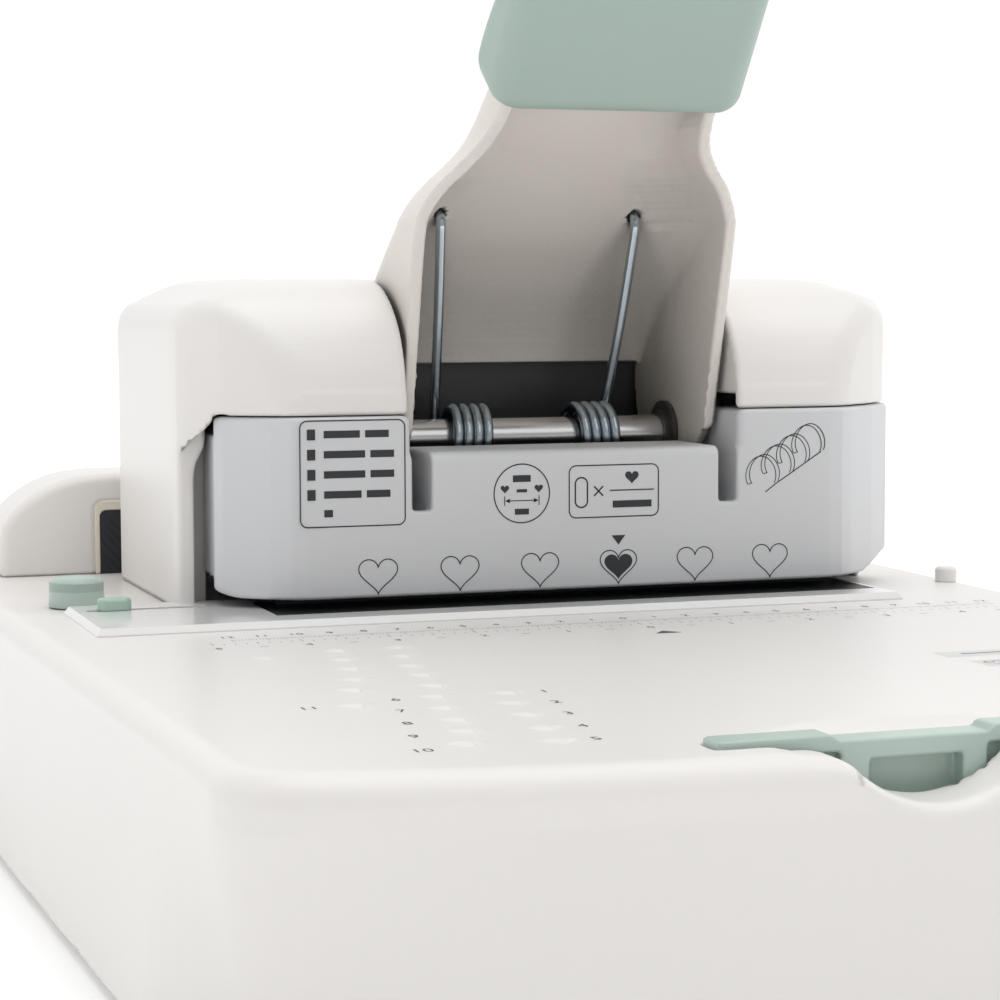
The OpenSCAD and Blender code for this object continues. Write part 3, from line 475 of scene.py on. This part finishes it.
def bezel_f(x, y, z):
    d = box3(x, y, z, (-112, 177.6, 50), (112, 179.6, 94.2), 0.7)
    d = np.maximum(d, box2(x, z, -112, 112, 40, 94.2, 3.5))
    d = rcut(d, box2(x, z, -110.1, 110.1, 40, 90.6, 2.0), 0.3)
    return np.maximum(d, DECK + 0.06 - z)

# ------------------------------------------------------------------ carry handle
def carry_f(x, y, z):
    top = 68.45 + 1.45 * np.clip((np.abs(x + 1.5) - 18.2) / 1.6, 0, 1)
    d = box2(x, y, -48, 46, -205, -196, 0.8)
    d = rmax(d, z - top, 0.7)
    d = rmax(d, 19 - z, 1.0)
    fl = box3(x, y, z, (-48.9, -205, 23.4), (46.9, -192.6, 27.4), 0.6)
    d = rmin(d, fl, 0.3)
    d = rcut(d, box2(x, z, -33, 31, 31, 52, 5.0), 2.0)
    d = rcut(d, box3(x, y, z, (-12.4, -215, 53.9), (10.4, -200.9, 64.1), 0.9), 0.6)
    for rx in (-1.5 - 24.5, -1.5 + 24.5):
        d = rcut(d, box3(x, y, z, (rx - 6.6, -215, 53.9), (rx + 6.6, -202.6, 66.0), 0.9), 0.6)
    return d

def build_shells():
    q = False
    implicit("head_casing_skin", casing_f, (-111, 33, 67), (137, 165, 173), 2.4 if q else 1.45, "root", WHITE, "shell_white", "head_casing")
    implicit("front_cover_skin", cover_f, (-100, 33, 71), (137, 80, 131), 2.0 if q else 1.15, "root", PANEL, "panel_grey", "front_cover")
    implicit("handle_arm_skin", arm_f, (HX - 56, -14, 100), (HX + 56, 113, 245), 2.4 if q else 1.35, "lever", LEVER, "lever_white", "handle_arm")
    V, Q, N = surface(grip_f, (-42, -3, -3), (42, 36, 121), 2.6 if q else 1.5)
    W = V.copy(); M = N.copy()
    for A, B, t in ((V, W, True), (N, M, False)):
        B[:, 1] = A[:, 1] * LEAN_C - A[:, 2] * LEAN_S
        B[:, 2] = A[:, 1] * LEAN_S + A[:, 2] * LEAN_C
        if t: B[:, 0] += HX; B[:, 1] += 1; B[:, 2] += 216.5
    ob = mesh_object("handle_grip_skin", W, Q, M); ob.data.materials.append(MINT)
    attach(ob, "lever"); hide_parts("handle_grip")
    implicit("rear_housing_skin", rear_f, (-148, 175, 66), (148, 219, 106), 2.6 if q else 1.6, "root", WHITE, "shell_white", "rear_housing")
    implicit("closer_bezel_skin", bezel_f, (-113, 176.6, 67.5), (113, 180.8, 95.6), 1.4 if q else 0.8, "root", CREAM, "bezel_cream", "closer_bezel")
    implicit("carry_handle_skin", carry_f, (-51, -208, 17), (49, -190, 72), 1.6 if q else 0.9, "carry", MINT2, "grip_mint", "carry_handle")

# ------------------------------------------------------------------ small controls
def knob_f(x, y, z):
    r = np.sqrt(x * x + y * y)
    d = rmax(r - (8.75 - 0.05 * z), z - (9.65 - r * r * 0.012), 2.2)
    return rmax(d, -z, 0.3)

def pill_f(x, y, z):
    a = box2(x, y, -5.1, 5.1, -2.75, 2.75, 2.7)
    d = rmax(a, z - 3.75, 1.2)
    return rmax(d, -z, 0.3)

def peg_f(x, y, z):
    r = np.sqrt(x * x + y * y)
    return rmax(rmax(r - 3.65, z - 5.0, 1.4), -z, 0.2)

def place(name, f, lo, hi, h, at, body, mat, slot, *nodes):
    V, Q, N = surface(f, lo, hi, h)
    ob = mesh_object(name, V + np.array(at), Q, N); ob.data.materials.append(mat)
    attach(ob, body)
    if nodes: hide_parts(*nodes)
    return ob

def revolve(name, prof, n, at, axis, body, mat, slot, *nodes):
    """closed lathe: prof is [(radius, along)] round a closed loop"""
    V = []; Q = []
    m = len(prof)
    for i in range(n):
        a = 2 * math.pi * i / n
        for r, t in prof:
            p = (r * math.cos(a), r * math.sin(a), t)
            if axis == "x": p = (p[2], p[0], p[1])
            V.append((p[0] + at[0], p[1] + at[1], p[2] + at[2]))
    for i in range(n):
        for j in range(m):
            a, b = i * m + j, i * m + (j + 1) % m
            c, d = ((i + 1) % n) * m + (j + 1) % m, ((i + 1) % n) * m + j
            Q.append((a, b, c, d))
    ob = mesh_object(name, V, Q)
    bm = bmesh.new(); bm.from_mesh(ob.data)
    bmesh.ops.remove_doubles(bm, verts=bm.verts, dist=1e-7)
    bmesh.ops.recalc_face_normals(bm, faces=bm.faces)
    bm.to_mesh(ob.data); bm.free()
    for e in ob.data.edges: pass
    ob.data.set_sharp_from_angle(angle=math.radians(35))
    ob.data.materials.append(mat)
    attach(ob, body)
    if nodes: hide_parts(*nodes)
    return ob

def sweep(name, path, r, n, body, mat, slot, *nodes):
    """round wire along a path, ends closed with small chamfers"""
    P = np.array(path, float); m = len(P)
    T = np.zeros_like(P); T[1:-1] = P[2:] - P[:-2]; T[0] = P[1] - P[0]; T[-1] = P[-1] - P[-2]
    T /= np.linalg.norm(T, axis=1)[:, None]
    A = np.cross(T[0], (1, 0, 0.001)); A /= np.linalg.norm(A)
    V = []; rings = []
    for i in range(m):
        A = A - T[i] * A.dot(T[i]); A /= np.linalg.norm(A)
        B = np.cross(T[i], A)
        rr = r
        rings.append([len(V) + k for k in range(n)])
        V += [P[i] + rr * (A * math.cos(2 * math.pi * k / n) + B * math.sin(2 * math.pi * k / n)) for k in range(n)]
    Q = [(rings[i][k], rings[i][(k + 1) % n], rings[i + 1][(k + 1) % n], rings[i + 1][k]) for i in range(m - 1) for k in range(n)]
    for end, s in ((0, -1), (m - 1, 1)):
        c = P[end] + T[end] * s * 0.35
        inner = [len(V) + k for k in range(n)]
        V += [c + (np.array(V[rings[end][k]]) - P[end]) * 0.72 for k in range(n)]
        for k in range(n):
            q = (rings[end][k], rings[end][(k + 1) % n], inner[(k + 1) % n], inner[k])
            Q.append(q if s > 0 else q[::-1])
        Q.append(tuple(inner) if s > 0 else tuple(inner[::-1]))
    ob = mesh_object(name, V, Q)
    ob.data.set_sharp_from_angle(angle=math.radians(50))
    ob.data.materials.append(mat)
    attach(ob, body)
    if nodes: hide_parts(*nodes)
    return ob

def build_small():
    place("size_knob_cap", knob_f, (-10, -10, -1), (10, 10, 11), 0.45, (-132.3, 96, DECK - 0.75), "knob", MINT2, "grip_mint")
    place("edge_slider_cap", pill_f, (-6, -4, -1), (6, 4, 5.0), 0.28, (-127.6, 57, DECK + 2.35), "slider", ACCENT, "accent_mint")
    place("edge_peg_cap", peg_f, (-4.5, -4.5, -1), (4.5, 4.5, 6), 0.3, (151.3, 54, DECK + 0.05), "root", WHITE, "shell_white")
    for s, nm in ((-1, "left"), (1, "right")):
        leg = spline([(s * 33, -5.8, 71.1), (s * 33, -8.6, 71.1), (s * 33, -10.3, 70.2), (s * 33, -11.0, 68), (s * 32.9, -10.4, 64), (s * 31.5, -3.6, 40), (s * 30.1, 4.4, 17), (s * 29.3, 8.3, 6)], 6)
        coil = [(s * (28.6 - 14.3 * i / 204), 9.35 * math.cos(math.radians(i * 7.5)), -9.35 * math.sin(math.radians(i * 7.5))) for i in range(205)]
        tail = [(s * 14.25, -1.5, -9.35), (s * 14.2, -3.4, -9.35)]
        path = [(HX + a, PY + b, PZ + c) for a, b, c in leg[:-1] + coil + tail]
        sweep("spring_%s_wire" % nm, path, 1.6, 16, "lever", SPRING, "spring_steel", "spring_" + nm)

build_base()
build_shells()
build_small()

# ------------------------------------------------------------------ printed marks
class Print:
    """thin flat marks on one plane: at(a, b) gives the point on it"""
    def __init__(self, name, mat, at, slot, flip=False):
        self.V = []; self.F = []; self.name = name; self.mat = mat; self.at = at; self.slot = slot; self.flip = flip
    def quad(self, pts):
        i = len(self.V); self.V += [self.at(*p) for p in pts]; self.F.append(tuple(range(i, i + len(pts))))
    def rect(self, a0, a1, b0, b1):
        self.quad([(a0, b0), (a1, b0), (a1, b1), (a0, b1)])
    def line(self, pts, w, closed=False):
        P = np.array(pts, float); n = len(P)
        if closed:
            T = np.roll(P, -1, 0) - np.roll(P, 1, 0)
        else:
            T = np.zeros_like(P); T[1:-1] = P[2:] - P[:-2]; T[0] = P[1] - P[0]; T[-1] = P[-1] - P[-2]
        T /= np.maximum(np.linalg.norm(T, axis=1), 1e-9)[:, None]
        Nn = np.stack([-T[:, 1], T[:, 0]], 1) * w / 2
        i = len(self.V)
        for k in range(n):
            self.V.append(self.at(*(P[k] + Nn[k]))); self.V.append(self.at(*(P[k] - Nn[k])))
        for k in range(n if closed else n - 1):
            a, b = i + 2 * k, i + 2 * ((k + 1) % n)
            self.F.append((a, a + 1, b + 1, b))
    def text(self, s, a, b, size):
        cu = bpy.data.curves.new("t", "FONT"); cu.body = s; cu.size = size; cu.align_x = "CENTER"; cu.align_y = "CENTER"
        cu.resolution_u = 3; cu.fill_mode = "FRONT"
        ob = bpy.data.objects.new("t", cu)
        COL.objects.link(ob)
        dg = bpy.context.evaluated_depsgraph_get()
        me = bpy.data.meshes.new_from_object(ob.evaluated_get(dg))
        i = len(self.V)
        self.V += [self.at(a + v.co.x, b + v.co.y) for v in me.vertices]
        self.F += [tuple(i + k for k in f.vertices) for f in me.polygons]
        bpy.data.objects.remove(ob); bpy.data.meshes.remove(me); bpy.data.curves.remove(cu)
    def done(self, body="root"):
        ob = mesh_object(self.name, self.V, self.F, smooth=False)
        bm = bmesh.new(); bm.from_mesh(ob.data)
        want = Vector(self.at(0, 0, True))
        for f in bm.faces:
            f.normal_update()
            if f.normal.dot(want) < 0: f.normal_flip()
        bm.to_mesh(ob.data); bm.free()
        ob.data.materials.append(self.mat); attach(ob, body)
        return ob

def on_deck(a, b, normal=False): return (0, 0, 1) if normal else (a + 14.0, b + 2.0, DECK + 0.035)
def on_panel(a, b, normal=False): return (0, -1, 0) if normal else (a + 14.0, 35.84, b + DECK)

def heart(cx, cy, w, h, n=44):
    t = np.linspace(0, 2 * math.pi, n, endpoint=False)
    X = 16 * np.sin(t) ** 3; Y = 13 * np.cos(t) - 5 * np.cos(2 * t) - 2 * np.cos(3 * t) - np.cos(4 * t)
    return [(cx + a * w / 32.0, cy + (b + 2.5) * h / 29.0) for a, b in zip(X, Y)]

def rrect(a0, a1, b0, b1, r, n=6):
    return arc(a1 - r, b1 - r, r, 0, 90, n) + arc(a0 + r, b1 - r, r, 90, 180, n) + arc(a0 + r, b0 + r, r, 180, 270, n) + arc(a1 - r, b0 + r, r, 270, 360, n)

def build_prints():
    R = Print("ruler_print", INKGREY, on_deck, "shell_white")
    for k in range(-12, 13):
        R.text(str(abs(k)), k * 10, 0, 4.6)
    for k in range(-120, 121):
        ln = 3.4 if k % 10 == 0 else (2.6 if k % 5 == 0 else 1.5)
        R.rect(k - 0.09, k + 0.09, -5.6 - ln, -5.6)
    for k in range(-5, 6):
        R.text(str(abs(k)), k * 25.4, -21.5, 4.8)
    for k in range(-40, 41):
        x = k * 25.4 / 8
        ln = 4.2 if k % 8 == 0 else (3.0 if k % 4 == 0 else 1.8)
        R.rect(x - 0.1, x + 0.1, -14.8, -14.8 + ln)
    for k in range(-10, 10):
        if k % 2: R.rect(k * 12.7 - 1.3, k * 12.7 + 1.3, -21.6, -21.2)
    for k, (a, b) in enumerate([(-69.5, -121), (-72.4, -137), (-75.3, -153), (-78.4, -170), (-81.4, -186), (-107, -121), (-110.4, -137), (-114, -153.5), (-117.6, -170), (-121, -187), (-129.5, -126)]):
        R.text(str(k + 1), a, b, 5.2)
    R.done()
    T = Print("centre_mark", INKGREY, on_deck, "shell_white")
    T.quad([(-4.2, -34.8), (4.2, -34.8), (0, -29.6)])
    T.done()
    G = Print("deck_label", INKPALE, on_deck, "shell_white")
    G.rect(50, 128, -105, -96); G.rect(52, 128, -122.6, -112.5)
    G.done()
    H = Print("deck_label_marks", INKGREY, lambda a, b, normal=False: (0, 0, 1) if normal else (a + 14.0, b + 2.0, DECK + 0.06), "shell_white")
    for i in range(7):
        H.line(heart(57 + i * 11, -117.5, 5.6, 5.2), 0.45, True)
    H.rect(56, 122, -101.2, -100.2)
    H.done()
    P = Print("panel_print", INK, on_panel, "panel_grey")
    xs = [-65.6, -39.7, -13.8, 12.1, 38.0, 63.9]
    for i, x in enumerate(xs):
        P.line(heart(x, 11.5, 12.2, 10.6), 0.36, True)
        if i == 3:
            h = heart(x, 11.5, 9.4, 8.0); c = (x, 11.2)
            for k in range(len(h)): P.quad([c, h[k], h[(k + 1) % len(h)]])
            P.quad([(x - 2.3, 21.4), (x + 2.3, 21.4), (x, 18.4)])
    P.line(rrect(-89.5, -57, 27, 58.7, 2.2), 0.4, True)
    for r, (b, ends) in enumerate([(54.6, (-62, )), (48.6, (-60.4, )), (42.6, (-60.4, )), (36.6, (-61.6, )), (31, (-70.5, ))]):
        if r < 4: P.rect(-87.3, -84.8, b - 1.6, b + 1.6)
        P.rect(-82.2, ends[0] - 9, b - 1.1, b + 1.1); 
        if r < 4: P.rect(ends[0] - 7.4, ends[0], b - 1.1, b + 1.1)
    P.line([(-19.7 + 9 * math.cos(a), 35.3 + 9 * math.sin(a)) for a in np.linspace(0, 2 * math.pi, 60, endpoint=False)], 0.4, True)
    for s in (-1, 1):
        h = heart(-19.7 + s * 5.5, 36.6, 2.8, 2.5, 20)
        for k in range(20): P.quad([(-19.7 + s * 5.5, 36.5), h[k], h[(k + 1) % 20]])
        P.rect(-19.7 + s * 5.6 - 0.15, -19.7 + s * 5.6 + 0.15, 31.6, 34.6)
        P.quad([(-19.7 + s * 5.4, 33.1), (-19.7 + s * 3.9, 33.8), (-19.7 + s * 3.9, 32.4)])
    P.rect(-25, -14.4, 32.95, 33.25); P.rect(-22.6, -16.8, 38.8, 40.9); P.rect(-22.0, -17.4, 28.8, 30.6); P.rect(-21.4, -18.0, 35.6, 36.6)
    P.line(rrect(-4.2, 25.5, 27.2, 43.3, 2.2), 0.4, True)
    P.line(rrect(-2.2, 1.8, 30.4, 39.6, 1.9), 0.5, True)
    P.line([(4.0, 33.8), (7.0, 36.8)], 0.5); P.line([(4.0, 36.8), (7.0, 33.8)], 0.5)
    P.rect(9.2, 24.0, 35.2, 35.6)
    h = heart(16.6, 39.2, 4.6, 4.0, 24)
    for k in range(24): P.quad([(16.6, 39.1), h[k], h[(k + 1) % 24]])
    P.rect(10.2, 23.2, 30.0, 32.2)
    # the spine of a binding wire, drawn in line
    for i in range(4):
        ox, oz = 60.6 + i * 5.3, 39.2 + i * 3.15
        for e in (0.0, 1.25):
            P.line([(ox + e + 5.2 * math.cos(a) * (1 - 0.10 * math.sin(a)), oz + e * 0.4 + 5.6 * math.sin(a)) for a in np.linspace(-0.55, 3.75, 26)], 0.3)
        P.line([(ox + 5.2 * math.cos(3.75), oz + 5.6 * math.sin(3.75)), (ox + 1.25 + 5.2 * math.cos(3.75), oz + 0.5 + 5.6 * math.sin(3.75))], 0.3)
    P.line([(62.2, 33.4), (66.0, 36.1), (71.2, 39.3), (76.5, 42.6), (81.6, 45.8)], 0.36)
    P.done()

def build_marks():
    V = []; F = []
    n, m = 36, 8
    for x, y in BUMPS:
        hh = heart(0, 0, 10.4, 9.4, n)
        i = len(V); V.append((x, y, DECK + 0.62))
        for k in range(1, m + 1):
            s = k / m
            zz = DECK - 0.04 + 0.68 * (0.5 + 0.5 * math.cos(math.pi * s ** 1.7))
            V += [(x + a * s, y + b * s, zz) for a, b in hh]
        for q in range(n): F.append((i, i + 1 + (q + 1) % n, i + 1 + q))
        for k in range(m - 1):
            for q in range(n):
                a = i + 1 + k * n + q; b = i + 1 + k * n + (q + 1) % n
                F.append((a, b, b + n, a + n))
    ob = mesh_object("position_marks", V, F)
    bm = bmesh.new(); bm.from_mesh(ob.data)
    for f in bm.faces:
        f.normal_update()
        if f.normal.z < 0: f.normal_flip()
    bm.to_mesh(ob.data); bm.free()
    ob.data.materials.append(WHITE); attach(ob, "root")

def build_pad():
    nx, nz = 551, 56
    xs = np.linspace(-110.1, 110.1, nx); zs = np.linspace(DECK + 0.1, 90.4, nz)
    X, Z = np.meshgrid(xs, zs, indexing="ij")
    p = np.abs(((X + Z * 0.9) / 3.2) % 1.0 - 0.5) * 2
    q = np.clip((p - 0.35) / 0.3, 0, 1)
    edge = np.minimum(np.minimum(X + 110.1, 110.1 - X), np.minimum(Z - DECK - 0.1, 90.4 - Z))
    Y = 178.18 - 0.32 * q * q * (3 - 2 * q) * np.clip(edge / 0.8, 0, 1)
    V = np.stack([X, Y, Z], -1).reshape(-1, 3)
    idx = np.arange(nx * nz).reshape(nx, nz)
    Q = np.stack([idx[:-1, :-1], idx[1:, :-1], idx[1:, 1:], idx[:-1, 1:]], -1).reshape(-1, 4)
    ob = mesh_object("closer_pad_ribs", V, Q); ob.data.materials.append(PAD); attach(ob, "root")

def build_liner():
    """painted shade: a dark sheet at the back of the lever well, standing in for the shadow deep in the well"""
    lo, hi = (HX - 54.2, 111.6, DECK + 3), (HX + 54.2, 112.9, 150)
    V = [(x, y, z) for x in (lo[0], hi[0]) for y in (lo[1], hi[1]) for z in (lo[2], hi[2])]
    F = [(0, 1, 3, 2), (4, 6, 7, 5), (0, 4, 5, 1), (2, 3, 7, 6), (0, 2, 6, 4), (1, 5, 7, 3)]
    # black box that paints the shade at the back of the well
    ob = mesh_object("well_painted_shade", V, F, smooth=False)
    ob.data.materials.append(BLACK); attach(ob, "root")

build_liner()
build_prints()
build_marks()
build_pad()

# ------------------------------------------------------------------ stage
scene = bpy.context.scene
def floor():
    me = bpy.data.meshes.new("floor")
    s = 6.0
    me.from_pydata([(-s, -s, 0), (s, -s, 0), (s, s, 0), (-s, s, 0)], [], [(0, 1, 2, 3)])
    ob = bpy.data.objects.new("floor", me); COL.objects.link(ob)
    fm = material("floor_pale", (0.92, 0.92, 0.92), rough=0.8, var=0.01, bump=0.0)
    fm.node_tree.nodes["Principled BSDF"].inputs["Emission Color"].default_value = (1, 1, 1, 1)
    n2 = fm.node_tree; g = n2.nodes.new("ShaderNodeTexCoord"); ln = n2.nodes.new("ShaderNodeVectorMath"); ln.operation = "LENGTH"
    m2 = n2.nodes.new("ShaderNodeMapRange"); n2.links.new(g.outputs["Object"], ln.inputs[0]); n2.links.new(ln.outputs["Value"], m2.inputs["Value"])
    m2.inputs["From Min"].default_value = 0.25; m2.inputs["From Max"].default_value = 1.4
    m2.inputs["To Min"].default_value = 0.14; m2.inputs["To Max"].default_value = 0.7
    n2.links.new(m2.outputs["Result"], n2.nodes["Principled BSDF"].inputs["Emission Strength"])
    ob.data.materials.append(fm)
floor()

def light(name, loc, target, size, power, col=(1, 1, 1)):
    ld = bpy.data.lights.new(name, "AREA"); ld.shape = "RECTANGLE"; ld.size = size[0]; ld.size_y = size[1]; ld.energy = power; ld.color = col
    ob = bpy.data.objects.new(name, ld); COL.objects.link(ob)
    ob.location = loc
    ob.rotation_euler = (Vector(target) - Vector(loc)).to_track_quat("-Z", "Y").to_euler()
    return ob
light("key_left", (-1.6, -0.2, 0.8), (0, 0, 0.08), (1.2, 1.2), 1.2)
light("top_soft", (0.15, -0.25, 1.8), (0, 0, 0.08), (1.8, 1.8), 17.5)
light("front_fill", (0.5, -1.9, 1.3), (0.02, 0.05, 0.12), (1.6, 1.0), 3.5)
light("right_rim", (1.7, 0.7, 0.9), (0, 0, 0.1), (1.0, 1.2), 3)

w = bpy.data.worlds.new("studio"); scene.world = w; w.use_nodes = True
nt = w.node_tree; bg = nt.nodes["Background"]
bg.inputs[0].default_value = (1, 1, 1, 1)
tc = nt.nodes.new("ShaderNodeTexCoord"); sp = nt.nodes.new("ShaderNodeSeparateXYZ"); mr = nt.nodes.new("ShaderNodeMapRange")
nt.links.new(tc.outputs["Generated"], sp.inputs[0]); nt.links.new(sp.outputs["Y"], mr.inputs["Value"])
mr.inputs["From Min"].default_value = -0.5; mr.inputs["From Max"].default_value = 0.75
mr.inputs["To Min"].default_value = 0.46; mr.inputs["To Max"].default_value = 1.02
nt.links.new(mr.outputs["Result"], bg.inputs[1])

def camera():
    yaw, pitch, roll = math.radians(19.17), math.radians(4.607), math.radians(-0.204)
    fw = Vector((math.sin(yaw) * math.cos(pitch), math.cos(yaw) * math.cos(pitch), -math.sin(pitch)))
    r = fw.cross(Vector((0, 0, 1))).normalized(); u = r.cross(fw)
    r2 = r * math.cos(roll) + u * math.sin(roll); u2 = -r * math.sin(roll) + u * math.cos(roll)
    cd = bpy.data.cameras.new("camera"); cd.lens = 36 * 2487.5 / 1000; cd.sensor_width = 36; cd.sensor_fit = "HORIZONTAL"; cd.clip_start = 0.01; cd.clip_end = 60
    ob = bpy.data.objects.new("camera", cd); COL.objects.link(ob)
    m = Matrix((r2, u2, -fw)).transposed().to_4x4()
    m.translation = Vector((-0.26111, -0.67843, 0.16293))
    ob.matrix_world = m
    scene.camera = ob
camera()
scene.view_settings.view_transform = "Standard"
scene.view_settings.look = "None"
